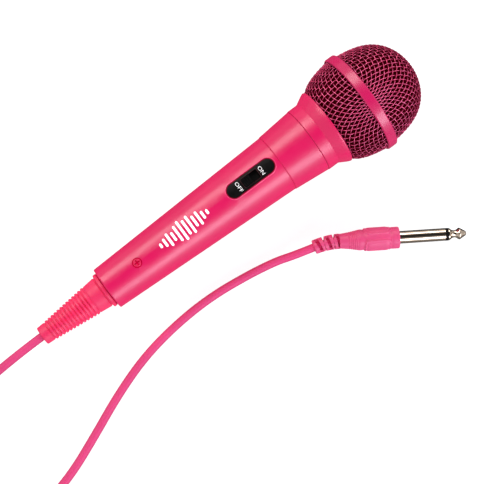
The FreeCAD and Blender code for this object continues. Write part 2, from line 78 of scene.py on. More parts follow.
# ------------------------------------------------------------------ mesh helpers
def new_object(name, verts, faces, material, smooth_angle=35.0):
    me = bpy.data.meshes.new(name)
    me.from_pydata([tuple(v) for v in verts], [], faces)
    me.validate()
    me.materials.append(material)
    ob = bpy.data.objects.new(name, me)
    col.objects.link(ob)
    if smooth_angle is None:
        me.shade_smooth()
    else:
        me.shade_smooth()
        me.set_sharp_from_angle(angle=math.radians(smooth_angle))
    return ob


def lathe(name, profile, place, material, segments=96, radius=None, closed=True, smooth_angle=35.0):
    """Closed (u, r) loop turned round the axis. radius(u, r, angle) may move a point in or out.
    Angle 0 is up, +90 degrees is to the left."""
    verts, faces = [], []
    n = len(profile)
    for k in range(segments):
        a = 2 * math.pi * k / segments
        sa, ca = math.sin(a), math.cos(a)
        for (u, r) in profile:
            rr = radius(u, r, a) if radius else r
            verts.append(place(u, rr * sa, rr * ca))
    m = n if closed else n - 1
    for k in range(segments):
        k2 = (k + 1) % segments
        for i in range(m):
            j = (i + 1) % n
            faces.append((k * n + i, k * n + j, k2 * n + j, k2 * n + i))
    return new_object(name, verts, faces, material, smooth_angle)


def dense(points, per=6, closed_first=False):
    """Catmull-Rom through (u, r) points."""
    out = []
    n = len(points)
    for i in range(n - 1):
        p0 = points[max(i - 1, 0)]
        p1, p2 = points[i], points[i + 1]
        p3 = points[min(i + 2, n - 1)]
        for k in range(per):
            t = k / per
            out.append(tuple(0.5 * (2 * p1[c] + (p2[c] - p0[c]) * t + (2 * p0[c] - 5 * p1[c] + 4 * p2[c] - p3[c]) * t * t
                                    + (3 * p1[c] - p0[c] - 3 * p2[c] + p3[c]) * t ** 3) for c in (0, 1)))
    out.append(tuple(points[-1]))
    return out


def offset_line(pts, d):
    out = []
    for i, (u, r) in enumerate(pts):
        a, b = pts[max(i - 1, 0)], pts[min(i + 1, len(pts) - 1)]
        tu, tr = b[0] - a[0], b[1] - a[1]
        n = math.hypot(tu, tr) or 1.0
        out.append((u + tr / n * d, r - tu / n * d))
    return out


# ------------------------------------------------------------------ materials
def srgb(r, g, b):
    def f(c):
        c /= 255.0
        return c / 12.92 if c <= 0.04045 else ((c + 0.055) / 1.055) ** 2.4
    return (f(r), f(g), f(b), 1.0)


class Mat:
    def __init__(self, name, rgb, rough=0.4, metal=0.0, spec=0.5):
        self.m = bpy.data.materials.new(name)
        self.m.use_nodes = True
        self.t = self.m.node_tree
        self.t.nodes.clear()
        self.out = self.t.nodes.new("ShaderNodeOutputMaterial")
        self.b = self.t.nodes.new("ShaderNodeBsdfPrincipled")
        self.t.links.new(self.b.outputs[0], self.out.inputs["Surface"])
        self.rgb = srgb(*rgb)
        self.b.inputs["Base Color"].default_value = self.rgb
        self.b.inputs["Roughness"].default_value = rough
        self.b.inputs["Metallic"].default_value = metal
        self.b.inputs["Specular IOR Level"].default_value = spec
        self.co = self.t.nodes.new("ShaderNodeTexCoord").outputs["Object"]
        self.bump_last = None

    def n(self, kind, **props):
        x = self.t.nodes.new(kind)
        for k, v in props.items():
            setattr(x, k, v)
        return x

    def link(self, a, b):
        self.t.links.new(a, b)

    def noise(self, per_mm, detail=3.0, rough=0.55, stretch=None):
        x = self.n("ShaderNodeTexNoise")
        x.inputs["Scale"].default_value = 1000.0 * per_mm
        x.inputs["Detail"].default_value = detail
        x.inputs["Roughness"].default_value = rough
        if stretch:
            mp = self.n("ShaderNodeMapping")
            mp.inputs["Scale"].default_value = stretch
            self.link(self.co, mp.inputs["Vector"])
            self.link(mp.outputs[0], x.inputs["Vector"])
        else:
            self.link(self.co, x.inputs["Vector"])
        return x.outputs[0]

    def ramp(self, fac, stops):
        x = self.n("ShaderNodeValToRGB")
        e = x.color_ramp.elements
        while len(e) < len(stops):
            e.new(0.5)
        for el, (pos, c) in zip(e, stops):
            el.position = pos
            el.color = c if len(c) == 4 else (*c, 1)
        self.link(fac, x.inputs[0])
        return x.outputs[0]

    def tint(self, fac, low, high, lo=0.35, hi=0.65):
        """Base colour between two multiples of the material's colour."""
        a = tuple(min(1, c * low) for c in self.rgb[:3])
        b = tuple(min(1, c * high) for c in self.rgb[:3])
        self.link(self.ramp(fac, [(lo, a), (hi, b)]), self.b.inputs["Base Color"])
        return self

    def vary_rough(self, fac, a, b, lo=0.3, hi=0.7):
        x = self.n("ShaderNodeMapRange")
        x.inputs["From Min"].default_value = lo
        x.inputs["From Max"].default_value = hi
        x.inputs["To Min"].default_value = a
        x.inputs["To Max"].default_value = b
        self.link(fac, x.inputs["Value"])
        self.link(x.outputs[0], self.b.inputs["Roughness"])
        return self

    def bump(self, height, depth_mm, strength=1.0):
        x = self.n("ShaderNodeBump")
        x.inputs["Strength"].default_value = strength
        x.inputs["Distance"].default_value = depth_mm * MM
        self.link(height, x.inputs["Height"])
        if self.bump_last:
            self.link(self.bump_last, x.inputs["Normal"])
        self.bump_last = x.outputs[0]
        self.link(self.bump_last, self.b.inputs["Normal"])
        return self

    def set(self, **kw):
        for k, v in kw.items():
            self.b.inputs[k.replace("_", " ")].default_value = v
        return self


def painted(name, rgb, rough=0.32, coat=0.0, pearl=0.0, spec=0.70):
    """Moulded plastic under a pearlescent paint: fine flakes, a faint orange peel, soft gloss."""
    m = Mat(name, rgb, rough=rough, spec=spec)
    m.tint(m.noise(0.035, 2.0), 0.965, 1.03)
    m.vary_rough(m.noise(0.22, 4.0), rough - 0.035, rough + 0.05)
    m.bump(m.noise(0.9, 2.0), 0.010, 0.35)
    m.bump(m.noise(7.0, 2.0), 0.0035, 0.35)
    m.set(Metallic=pearl, Coat_Weight=coat, Coat_Roughness=0.22)
    return m


PINK = (223, 16, 90)
M = {}
M["handle"] = painted("paint_handle", PINK).m
M["collar"] = painted("paint_collar", PINK).m
# The lip bead is a lighter copy of the handle pink: painted highlight along the pocket's rim.
M["lip"] = painted("paint_lip_highlight", (248, 62, 124), rough=0.22, spec=0.9).m
m = painted("paint_band", (206, 26, 92), rough=0.27, spec=0.68)
M["band"] = m.m

# Pink wire paint. The per-vertex ramp below paints a highlight along each wire's outer crown and shade on its sides and
# under-crossings.
m = Mat("wire_paint_painted_light", (214, 48, 104), rough=0.24, metal=0.45)
at = m.n("ShaderNodeAttribute")
at.attribute_name = "crown_painted_light"
sp_ = m.n("ShaderNodeMath", operation="MULTIPLY")
m.link(at.outputs["Fac"], sp_.inputs[0])
nz_ = m.n("ShaderNodeMapRange")
nz_.inputs["From Min"].default_value = 0.3
nz_.inputs["From Max"].default_value = 0.7
nz_.inputs["To Min"].default_value = 0.8
nz_.inputs["To Max"].default_value = 1.1
m.link(m.noise(0.25, 3.0), nz_.inputs["Value"])
m.link(nz_.outputs[0], sp_.inputs[1])
m.link(m.ramp(sp_.outputs[0], [(0.0, srgb(112, 0, 26)), (0.25, srgb(134, 0, 42)), (0.55, srgb(196, 30, 88)), (0.9, srgb(226, 102, 146))]), m.b.inputs["Base Color"])
m.vary_rough(m.noise(1.5, 3.0), 0.16, 0.30)
m.bump(m.noise(6.0, 2.0), 0.010, 0.4)
M["grille_wire"] = m.m

# Near-black foam; its dark red tint is painted bounce light from the pink wires.
m = Mat("foam_dark_red_bounce", (44, 1, 8), rough=1.0, spec=0.0)
vo = m.n("ShaderNodeTexVoronoi")
vo.inputs["Scale"].default_value = 1500.0
m.link(m.co, vo.inputs["Vector"])
m.link(m.ramp(vo.outputs["Distance"], [(0.1, (0.022, 0.0002, 0.0006)), (0.6, (0.075, 0.0006, 0.003))]), m.b.inputs["Base Color"])
m.bump(vo.outputs["Distance"], 0.35, 0.9)
M["foam"] = m.m

m = Mat("switch_gloss", (13, 12, 12), rough=0.42, spec=0.12)
m.tint(m.noise(0.4, 2.0), 0.8, 1.2)
m.vary_rough(m.noise(0.8, 3.0), 0.36, 0.48)
m.bump(m.noise(4.0, 2.0), 0.002, 0.3)
M["switch_black"] = m.m

m = Mat("plastic_inside", (40, 40, 42), rough=0.5)
m.tint(m.noise(0.1, 3.0), 0.93, 1.03)
m.bump(m.noise(2.5, 3.0), 0.02, 0.4)
M["inner_plastic"] = m.m
m = Mat("plastic_tail", (120, 12, 40), rough=0.55)
m.tint(m.noise(0.2, 3.0), 0.9, 1.08)
m.bump(m.noise(2.5, 3.0), 0.02, 0.4)
M["tail_dark"] = m.m
m = Mat("board", (150, 92, 40), rough=0.55)
m.tint(m.noise(0.8, 3.0, stretch=(1, 0.15, 1)), 0.8, 1.1)
m.bump(m.noise(2.0, 3.0), 0.02, 0.4)
M["inner_board"] = m.m
m = Mat("steel", (186, 188, 190), rough=0.34, metal=1.0)
m.tint(m.noise(0.3, 4.0, stretch=(0.2, 1, 1)), 0.85, 1.05)
m.vary_rough(m.noise(1.2, 4.0, stretch=(0.1, 1, 1)), 0.25, 0.45)
M["inner_steel"] = m.m
m = Mat("brass", (214, 172, 98), rough=0.3, metal=1.0)
m.tint(m.noise(0.5, 4.0), 0.85, 1.05)
m.vary_rough(m.noise(1.5, 3.0), 0.22, 0.4)
M["contact_brass"] = m.m
m = Mat("rubber", (28, 28, 30), rough=0.75, spec=0.3)
m.tint(m.noise(0.6, 4.0), 0.8, 1.25)
m.bump(m.noise(2.0, 4.0), 0.03, 0.5)
M["inner_rubber"] = m.m
m = Mat("aluminium", (200, 202, 205), rough=0.36, metal=1.0)
m.tint(m.noise(0.4, 4.0, stretch=(1, 0.2, 0.2)), 0.88, 1.04)
m.vary_rough(m.noise(1.0, 4.0), 0.28, 0.44)
M["capsule_aluminium"] = m.m
m = Mat("magnet", (70, 71, 75), rough=0.5, metal=0.6)
m.tint(m.noise(1.0, 5.0), 0.75, 1.2)
m.bump(m.noise(3.0, 4.0), 0.02, 0.5)
M["magnet"] = m.m
m = Mat("coil_copper", (184, 96, 52), rough=0.3, metal=1.0)
wv = m.n("ShaderNodeTexWave")
wv.bands_direction = "X"
wv.inputs["Scale"].default_value = 1600.0
m.link(m.co, wv.inputs["Vector"])
m.tint(wv.outputs["Fac"], 0.6, 1.1, 0.2, 0.8)
m.bump(wv.outputs["Fac"], 0.05, 0.7)
M["coil_wire"] = m.m
m = Mat("film", (196, 186, 160), rough=0.16)
m.tint(m.noise(0.4, 3.0), 0.92, 1.05)
m.set(Transmission_Weight=0.35)
m.bump(m.noise(0.5, 2.0), 0.02, 0.3)
M["film"] = m.m
m = Mat("wire_cover", (190, 60, 52), rough=0.45)
m.tint(m.noise(0.25, 3.0), 0.88, 1.08)
m.bump(m.noise(2.0, 2.0), 0.01, 0.4)
M["wire_insulation"] = m.m
M["screw"] = painted("paint_screw", (226, 16, 84), rough=0.36).m
# Darker paint for the screw's cross recess and the gap round its head: painted shade in these hollows.
m = Mat("paint_screw_lines", (206, 4, 60), rough=0.7, spec=0.02)
m.tint(m.noise(0.4, 3.0), 0.9, 1.08)
m.bump(m.noise(2.5, 3.0), 0.01, 0.4)
M["screw_lines"] = m.m
# Dark red paint for the rings set in the rear seam and in the tail gap: painted shade.
m = Mat("paint_seam_rear", (196, 10, 68), rough=0.7, spec=0.05)
m.tint(m.noise(0.4, 3.0), 0.9, 1.08)
m.bump(m.noise(2.5, 3.0), 0.01, 0.4)
M["rear_seam_painted_shade"] = m.m
m = Mat("paint_shade", (132, 2, 38), rough=0.7, spec=0.05)
m.tint(m.noise(0.4, 3.0), 0.9, 1.08)
m.bump(m.noise(2.5, 3.0), 0.01, 0.4)
M["shade"] = m.m
m = Mat("paint_edge_dark", (150, 3, 38), rough=0.6, spec=0.05)
m.tint(m.noise(0.4, 3.0), 0.85, 1.1)
m.bump(m.noise(2.5, 3.0), 0.01, 0.4)
M["edge_red"] = m.m
# Reddish line colour for the knob slot's frame: painted reflection of the pink handle in the black edges.
m = Mat("switch_slot_line", (58, 22, 26), rough=0.5, spec=0.15)
m.tint(m.noise(0.6, 3.0), 0.8, 1.15)
m.bump(m.noise(3.0, 2.0), 0.004, 0.3)
M["slot_line"] = m.m

m = Mat("boot_vinyl", (240, 42, 98), rough=0.44, spec=0.5)
m.tint(m.noise(0.06, 3.0), 0.96, 1.04)
m.vary_rough(m.noise(0.4, 4.0), 0.40, 0.54)
m.bump(m.noise(1.6, 3.0), 0.02, 0.35)
m.bump(m.noise(9.0, 2.0), 0.006, 0.4)
m.set(Subsurface_Weight=0.12, Subsurface_Radius=(0.0022, 0.0007, 0.0009), Subsurface_Scale=1.0)
M["boot"] = m.m

m = Mat("cord_vinyl", (250, 82, 144), rough=0.45, spec=0.22)
m.set(Coat_Weight=1.0, Coat_IOR=1.06, Coat_Roughness=0.5, Coat_Tint=(0.80, 0.72, 0.75, 1.0))
m.tint(m.noise(0.03, 3.0), 0.95, 1.05)
m.vary_rough(m.noise(0.5, 4.0), 0.38, 0.52)
m.bump(m.noise(0.35, 2.0), 0.03, 0.3)
m.bump(m.noise(3.5, 3.0), 0.008, 0.4)
M["cord"] = m.m

m = Mat("plug_vinyl", (226, 74, 126), rough=0.42, spec=0.45)
m.tint(m.noise(0.08, 3.0), 0.96, 1.04)
m.vary_rough(m.noise(0.5, 4.0), 0.36, 0.50)
m.bump(m.noise(2.0, 3.0), 0.012, 0.4)
m.set(Subsurface_Weight=0.1, Subsurface_Radius=(0.0015, 0.0005, 0.0007), Subsurface_Scale=1.0)
M["plug_moulding"] = m.m

# Darker copy of the plug vinyl for the deep faces of the relief's openings: painted shade in the slots.
m = Mat("plug_vinyl_slot_painted_shade", (204, 30, 96), rough=0.5, spec=0.2)
m.tint(m.noise(0.3, 3.0), 0.92, 1.06)
m.bump(m.noise(2.0, 3.0), 0.012, 0.4)
M["plug_slots"] = m.m

m = Mat("nickel_plate", (226, 206, 186), rough=0.12, metal=1.0)
m.tint(m.noise(0.15, 3.0), 0.96, 1.02)
m.vary_rough(m.noise(0.4, 3.0), 0.10, 0.15)
m.bump(m.noise(1.0, 2.0), 0.0008, 0.3)
M["plug_metal"] = m.m
m = Mat("plug_ring_black", (11, 9, 9), rough=0.5, spec=0.12)
m.tint(m.noise(0.8, 3.0), 0.8, 1.2)
m.vary_rough(m.noise(1.0, 3.0), 0.45, 0.6)
M["plug_black"] = m.m

m = Mat("tie_fabric", (34, 34, 38), rough=0.85, spec=0.2)
wv = m.n("ShaderNodeTexWave")
wv.bands_direction = "DIAGONAL"
wv.inputs["Scale"].default_value = 900.0
wv.inputs["Distortion"].default_value = 1.5
m.link(m.co, wv.inputs["Vector"])
m.tint(wv.outputs["Fac"], 0.6, 1.5, 0.2, 0.8)
m.bump(wv.outputs["Fac"], 0.12, 0.8)
M["tie"] = m.m

m = Mat("mark_white_glowing", (252, 250, 250), rough=0.5)
m.tint(m.noise(1.2, 3.0), 0.94, 1.0)
m.bump(m.noise(3.0, 2.0), 0.004, 0.4)
# The white print glows: painted light that makes the marks read brighter.
m.b.inputs["Emission Color"].default_value = (1, 1, 1, 1)
m.b.inputs["Emission Strength"].default_value = 0.5
M["mark"] = m.m

SLOT_OF = {
    "handle_tube": "handle", "switch_plate": "switch_black", "switch_knob": "switch_black", "switch_slider": "switch_black",
    "switch_carrier": "inner_plastic", "switch_contact_bridge": "contact_brass", "switch_can": "inner_steel",
    "switch_base": "inner_board", "switch_terminals": "contact_brass", "head_sleeve": "handle", "grille_collar": "collar",
    "grille_bowl": "grille_wire", "grille_dome": "grille_wire", "grille_band": "band", "foam_bowl": "foam", "foam_dome": "foam",
    "capsule_ring": "inner_rubber", "capsule_body": "inner_plastic", "capsule_cover": "capsule_aluminium",
    "capsule_yoke": "inner_steel", "capsule_magnet": "magnet", "capsule_pole": "inner_steel", "voice_coil": "coil_wire",
    "diaphragm": "film", "capsule_terminals": "contact_brass", "capsule_leads": "wire_insulation",
    "cord_cores": "wire_insulation", "tail_block": "tail_dark", "tail_screw": "screw", "strain_relief_boot": "boot",
    "cord_inner_end": "cord", "cord_mic_run": "cord", "cord_coil": "cord", "coil_tie": "tie", "cord_plug_run": "cord",
    "plug_relief": "plug_moulding", "plug_body": "plug_moulding", "plug_sleeve": "plug_metal",
    "plug_insulator": "plug_black", "plug_tip": "plug_metal", "plug_tip_rod": "plug_metal"}
for name, ob in nodes.items():
    mat = M[SLOT_OF[name]]
    if ob.material_slots:
        for s in ob.material_slots:
            s.material = mat
    else:
        ob.data.materials.append(mat)


# ------------------------------------------------------------------ camera
cam_data = bpy.data.cameras.new("camera")
cam_data.lens = 1535.0 * 36.0 / 484.0
cam_data.sensor_width = 36.0
cam_data.clip_start = 0.01
cam_data.clip_end = 50.0
cam = bpy.data.objects.new("camera", cam_data)
col.objects.link(cam)
right = Vector((0.8013662, -0.5947944, 0.0634965)).normalized()
back = Vector((-0.1534450, -0.1018083, 0.9828986)).normalized()
up = back.cross(right)
cam.matrix_world = Matrix((
    (right.x, up.x, back.x, -0.1220465),
    (right.y, up.y, back.y, -0.0965967),
    (right.z, up.z, back.z, 0.7537160),
    (0, 0, 0, 1)))
bpy.context.scene.camera = cam
bpy.context.scene.view_settings.view_transform = "Standard"


# ------------------------------------------------------------------ cord
MIC_RUN = [
    (-0.111228086, 0.0, 0.007167625),
    (-0.121181, -0.00010, 0.00615),
    (-0.135581, -0.00055, 0.00325),
    (-0.152581, -0.0019, 0.00215),
    (-0.172581, -0.0046, 0.00210),
    (-0.194581, -0.0069, 0.00212),
    (-0.213581, -0.00745, 0.00214),
]
PLUG_RUN = [
    (-0.223581, -0.07255, 0.01530),
    (-0.208581, -0.07260, 0.01520),
    (-0.191581, -0.07160, 0.01140),
    (-0.173581, -0.06950, 0.00490),
    (-0.156581, -0.06660, 0.00215),
    (-0.138081, -0.06200, 0.00210),
    (-0.118581, -0.05370, 0.00210),
    (-0.098581, -0.04460, 0.00210),
    (-0.077581, -0.03720, 0.00210),
    (-0.056081, -0.03340, 0.00210),
    (-0.033981, -0.03220, 0.00210),
    (-0.012581, -0.03420, 0.00212),
    (0.003919, -0.03710, 0.00305),
    (0.01226150, -0.03999390, 0.00407004),
    (0.02284327, -0.04274384, 0.00528002),
]
COIL = (-218.581, -40.0)
LEVELS = [2.14, 6.45, 10.80, 15.15]
ROWS = [32.55, 28.2, 23.85, 19.5]
SEATS = []
for lev in range(4):
    for r in (ROWS if lev % 2 == 0 else ROWS[::-1]):
        SEATS.append((r, LEVELS[lev]))
START, END, STEP = 98.0, 250.0, 22.5
coil_points = []
total = 360.0 * 15 + (END - START)
count = int(round(total / STEP))
for i in range(count + 1):
    turn = total * i / count / 360.0
    k = min(int(turn), len(SEATS) - 1)
    nxt = min(k + 1, len(SEATS) - 1)
    f = smooth(turn - k, 0.66, 1.0)
    r = SEATS[k][0] * (1 - f) + SEATS[nxt][0] * f
    z = SEATS[k][1] * (1 - f) + SEATS[nxt][1] * f
    a = START + turn * 360.0
    off = (a - 180.0 + 180.0) % 360.0 - 180.0
    z += 0.42 * math.exp(-(off / 22.0) ** 2) * (1 - 0.5 * z / 15.15)
    r += 0.05 * math.sin(1.7 * turn + 0.8 * math.sin(0.31 * i))
    a = math.radians(a)
    r = r / 0.9810
    coil_points.append(((COIL[0] + r * math.cos(a)) * MM, (COIL[1] + r * math.sin(a)) * MM, z * MM))
route = MIC_RUN + coil_points + PLUG_RUN
cu = bpy.data.curves.new("cord", "CURVE")
cu.dimensions = "3D"
sp = cu.splines.new("NURBS")
sp.points.add(len(route) - 1)
for p, q in zip(sp.points, route):
    p.co = (*q, 1.0)
sp.order_u = 3
sp.use_endpoint_u = True
sp.resolution_u = 6
cu.resolution_u = 6
cu.bevel_depth = 0.0021
cu.bevel_resolution = 5
cu.use_fill_caps = True
cu.materials.append(M["cord"])
cord = bpy.data.objects.new("cord", cu)
col.objects.link(cord)
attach(cord, "microphone")
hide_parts("cord_mic_run", "cord_coil", "cord_plug_run")


# ------------------------------------------------------------------ coil tie: a woven strap closed in a loop round the coil
def strap(name, loop, y0, y1, thick, material):
    """Closed loop of (x, z) in mm, swept between y0 and y1 with rounded edges."""
    n = len(loop)
    verts, faces = [], []
    w = (y1 - y0) / 2
    cy = (y0 + y1) / 2
    h = thick / 2
    sec = []
    for k in range(24):
        a = 2 * math.pi * k / 24
        c, s = math.cos(a), math.sin(a)
        sec.append((math.copysign(abs(c) ** 0.22, c) * w, math.copysign(abs(s) ** 0.7, s) * h))
    for i in range(n):
        p0, p1, p2 = loop[i - 1], loop[i], loop[(i + 1) % n]
        tx, tz = p2[0] - p0[0], p2[1] - p0[1]
        L = math.hypot(tx, tz)
        nx, nz = -tz / L, tx / L
        for (b, o) in sec:
            verts.append(((p1[0] + nx * o) * MM, (cy + b) * MM, (p1[1] + nz * o) * MM))
    m_ = len(sec)
    for i in range(n):
        j = (i + 1) % n
        for k in range(m_):
            l = (k + 1) % m_
            faces.append((i * m_ + k, i * m_ + l, j * m_ + l, j * m_ + k))
    return new_object(name, verts, faces, material, 50)


def rounded_loop(x0, x1, z0, z1, r, per=8):
    pts = []
    for (cx, cz, a0) in ((x1 - r, z0 + r, -90), (x1 - r, z1 - r, 0), (x0 + r, z1 - r, 90), (x0 + r, z0 + r, 180)):
        for k in range(per + 1):
            a = math.radians(a0 + 90 * k / per)
            pts.append((cx + r * math.cos(a), cz + r * math.sin(a)))
    out = []
    for i, p in enumerate(pts):
        q = pts[(i + 1) % len(pts)]
        d = math.hypot(q[0] - p[0], q[1] - p[1])
        m_ = max(1, int(d / 1.2))
        for k in range(m_):
            out.append((p[0] + (q[0] - p[0]) * k / m_, p[1] + (q[1] - p[1]) * k / m_))
    return out


cx, cy = COIL
tie = strap("coil_tie_strap", rounded_loop(cx - 35.35, cx - 16.75, 0.28, 18.0, 2.6), cy - 3.9, cy + 3.9, 0.5, M["tie"])
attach(tie, "microphone")
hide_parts("coil_tie")


# ------------------------------------------------------------------ woven wire head
BOWL = [(131.9, 17.92), (134.15, 19.72), (136.5, 21.55), (138.4, 22.6), (140.4, 23.45), (142.4, 24.1),
        (144.4, 24.62), (146.3, 25.05), (148.3, 25.4), (150.3, 25.72), (152.0, 25.9), (153.7, 25.93)]
DOME = [(154.95, 25.57), (158.2, 25.35), (160.2, 25.1), (162.2, 24.8), (164.2, 24.43), (166.2, 23.98), (168.1, 23.43),
        (170.1, 22.75), (172.1, 21.87), (174.1, 20.78), (176.1, 19.38), (178.1, 17.6), (180.1, 15.3), (182.1, 12.1),
        (183.6, 8.6), (184.62, 4.7), (185.0, 0.0)]


class Skin:
    """Surface of revolution by arc length from its pole."""

    def __init__(self, pts):
        p = np.array(pts)
        d = np.hypot(*np.diff(p, axis=0).T)
        self.s = np.concatenate([[0], np.cumsum(d)])
        self.u, self.r = p[:, 0], p[:, 1]
        self.end = self.s[-1]

    def xyz(self, s, a):
        u = np.interp(s, self.s, self.u)
        r = np.interp(s, self.s, self.r)
        return np.stack([u, r * np.sin(a), r * np.cos(a)], -1)


def net(skin, pitch, limit):
    """Cloth net of equal cells over a quarter of the surface, from two crossing lines at angles 0 and 90 degrees."""
    n = int(limit / pitch) + 2
    S = np.full((n, n), np.nan)
    A = np.full((n, n), np.nan)
    for i in range(n):
        S[i, 0], A[i, 0] = i * pitch, 0.0
        S[0, i], A[0, i] = i * pitch, math.pi / 2
    for i in range(1, n):
        for j in range(i, n):
            if i == 1 and j == 1:
                s, a = pitch * 1.414, math.pi / 4
            else:
                s0, a0 = S[i - 1, j], A[i - 1, j]
                s1, a1 = S[i, j - 1], A[i, j - 1]
                sb, ab = S[i - 1, j - 1], A[i - 1, j - 1]
                if np.isnan(s0) or np.isnan(s1):
                    continue
                if i - 1 == 0 and j - 1 == 0:
                    ab = math.pi / 4
                s, a = s0 + s1 - sb, a0 + a1 - ab
            P0, P1 = skin.xyz(S[i - 1, j], A[i - 1, j]), skin.xyz(S[i, j - 1], A[i, j - 1])
            if s > skin.end:
                s = skin.end
            ok = False
            for _ in range(30):
                X = skin.xyz(s, a)
                e = np.array([np.linalg.norm(X - P0) - pitch, np.linalg.norm(X - P1) - pitch])
                if np.abs(e).max() < 1e-6:
                    ok = True
                    break
                h = 1e-4
                Xs, Xa = skin.xyz(s + h, a), skin.xyz(s, a + h)
                J = np.array([[(np.linalg.norm(Xs - P0) - pitch - e[0]) / h, (np.linalg.norm(Xa - P0) - pitch - e[0]) / h],
                              [(np.linalg.norm(Xs - P1) - pitch - e[1]) / h, (np.linalg.norm(Xa - P1) - pitch - e[1]) / h]])
                try:
                    ds = np.linalg.solve(J, -e)
                except np.linalg.LinAlgError:
                    break
                ds = np.clip(ds, [-1.0, -0.2], [1.0, 0.2])
                s, a = s + ds[0], a + ds[1]
            if ok and s <= limit + 1.6 * pitch:
                S[i, j], A[i, j] = s, a
                S[j, i], A[j, i] = s, math.pi / 2 - a
    return S, A


def weave(name, outer, pole_first, pitch, wire_r, turn, keep, material, seed):
    """Plain weave laid over the surface: every wire goes over and under its crossings."""
    amp = wire_r * 0.93
    prof = dense(outer, 8)
    if not pole_first:
        prof = prof[::-1]
    mid = []
    for i, (u, r) in enumerate(prof):
        a, b = prof[max(i - 1, 0)], prof[min(i + 1, len(prof) - 1)]
        tu, tr = b[0] - a[0], b[1] - a[1]
        L = math.hypot(tu, tr)
        nu, nr = -tr / L, tu / L
        if nu * (u - 155.0) + nr * r < 0:
            nu, nr = -nu, -nr
        d = amp + wire_r + 0.02
        mid.append((u - nu * d, max(0.0, r - nr * d)))
    mid[0] = (mid[0][0], 0.0)
    skin = Skin(mid)
    S, A = net(skin, pitch, skin.end - 0.01)
    n = S.shape[0]
    size = 2 * n - 1
    G = np.full((size, size, 3), np.nan)
    for i in range(n):
        for j in range(n):
            if np.isnan(S[i, j]):
                continue
            for (si, sj) in ((1, 1), (-1, 1), (-1, -1), (1, -1)):
                a = A[i, j]
                ang = {(1, 1): a, (-1, 1): math.pi - a, (-1, -1): math.pi + a, (1, -1): -a}[(si, sj)]
                G[n - 1 + si * i, n - 1 + sj * j] = skin.xyz(S[i, j], ang + turn)
    # outward normals of the surface
    um, rm = skin.u, skin.r
    tu, tr = np.gradient(um), np.gradient(rm)
    L = np.hypot(tu, tr)
    nu, nr = -tr / L, tu / L
    flip = np.sign(nu * (um - 155.0) + nr * rm)
    nu, nr = nu * flip, nr * flip

    def normal(p):
        r = np.hypot(p[:, 1], p[:, 2])
        # nearest station of the profile
        k = np.argmin((p[:, 0][:, None] - um[None]) ** 2 + (r[:, None] - rm[None]) ** 2, axis=1)
        rr = np.where(r < 1e-6, 1.0, r)
        return np.stack([nu[k], nr[k] * p[:, 1] / rr, nr[k] * p[:, 2] / rr], 1)

    rng = np.random.RandomState(seed)
    verts, faces, crown_painted_light = [], [], []
    sides, sub = 8, 5
    for fam in (0, 1):
        for j in range(size):
            row = G[:, j] if fam == 0 else G[j, :]
            i = 0
            while i < size:
                if np.isnan(row[i, 0]):
                    i += 1
                    continue
                k = i
                while k + 1 < size and not np.isnan(row[k + 1, 0]):
                    k += 1
                pts = row[i:k + 1]
                first = i
                i = k + 1
                if len(pts) < 2:
                    continue
                m_ = len(pts)
                ext = np.vstack([2 * pts[0] - pts[1], pts, 2 * pts[-1] - pts[-2]])
                base, sign = [], []
                for q in range(m_ - 1):
                    p0, p1, p2, p3 = ext[q], ext[q + 1], ext[q + 2], ext[q + 3]
                    par = 1 if (first + q + j + fam) % 2 == 0 else -1
                    for t_ in range(sub):
                        t = t_ / sub
                        base.append(0.5 * (2 * p1 + (p2 - p0) * t + (2 * p0 - 5 * p1 + 4 * p2 - p3) * t * t + (3 * p1 - p0 - 3 * p2 + p3) * t ** 3))
                        sign.append(par * math.cos(math.pi * t))
                base.append(pts[-1])
                sign.append(1 if (first + m_ - 1 + j + fam) % 2 == 0 else -1)
                base, sign = np.array(base), np.array(sign)
                # within the shown part
                inside = keep(base[:, 0])
                if inside.sum() < 3:
                    continue
                runs, cur = [], []
                for q, ok in enumerate(inside):
                    if ok:
                        cur.append(q)
                    elif cur:
                        runs.append(cur)
                        cur = []
                if cur:
                    runs.append(cur)
                for run in runs:
                    if len(run) < 3:
                        continue
                    b_ = base[run]
                    N_ = normal(b_)
                    b_ = b_ + N_ * (amp * sign[run])[:, None]
                    T_ = np.gradient(b_, axis=0)
                    T_ /= np.linalg.norm(T_, axis=1)[:, None]
                    B_ = np.cross(T_, N_)
                    B_ /= np.linalg.norm(B_, axis=1)[:, None]
                    N2 = np.cross(B_, T_)
                    v0 = len(verts)
                    rr = wire_r * (1 + 0.02 * rng.randn())
                    W = mic_np(b_)
                    # directions in the row frame
                    def turn_dir(v):
                        return np.stack([v[:, 0] * CT - v[:, 2] * ST, v[:, 1], v[:, 0] * ST + v[:, 2] * CT], 1)
                    Bw, Nw = turn_dir(B_), turn_dir(N2)
                    for q in range(len(run)):
                        for c in range(sides):
                            an = math.pi / 2 + 2 * math.pi * c / sides
                            # painted light: the outward side of each wire gets a highlight value, the inward side
                            # shade, and over-crossings more than under-crossings
                            crown_painted_light.append(max(0.0, math.sin(an)) * (0.80 + 0.20 * sign[run[q]]))
                            verts.append(W[q] + (Bw[q] * math.cos(an) + Nw[q] * math.sin(an)) * rr * MM)
                    for q in range(len(run) - 1):
                        for c in range(sides):
                            d = (c + 1) % sides
                            faces.append((v0 + q * sides + c, v0 + q * sides + d, v0 + (q + 1) * sides + d, v0 + (q + 1) * sides + c))
                    faces.append(tuple(v0 + c for c in range(sides))[::-1])
                    e = v0 + (len(run) - 1) * sides
                    faces.append(tuple(e + c for c in range(sides)))
    ob = new_object(name, verts, [f[::-1] for f in faces], material, None)
    ob.data.attributes.new("crown_painted_light", "FLOAT", "POINT").data.foreach_set("value", crown_painted_light)
    print(name, "faces", len(faces), "net", n)
    return ob


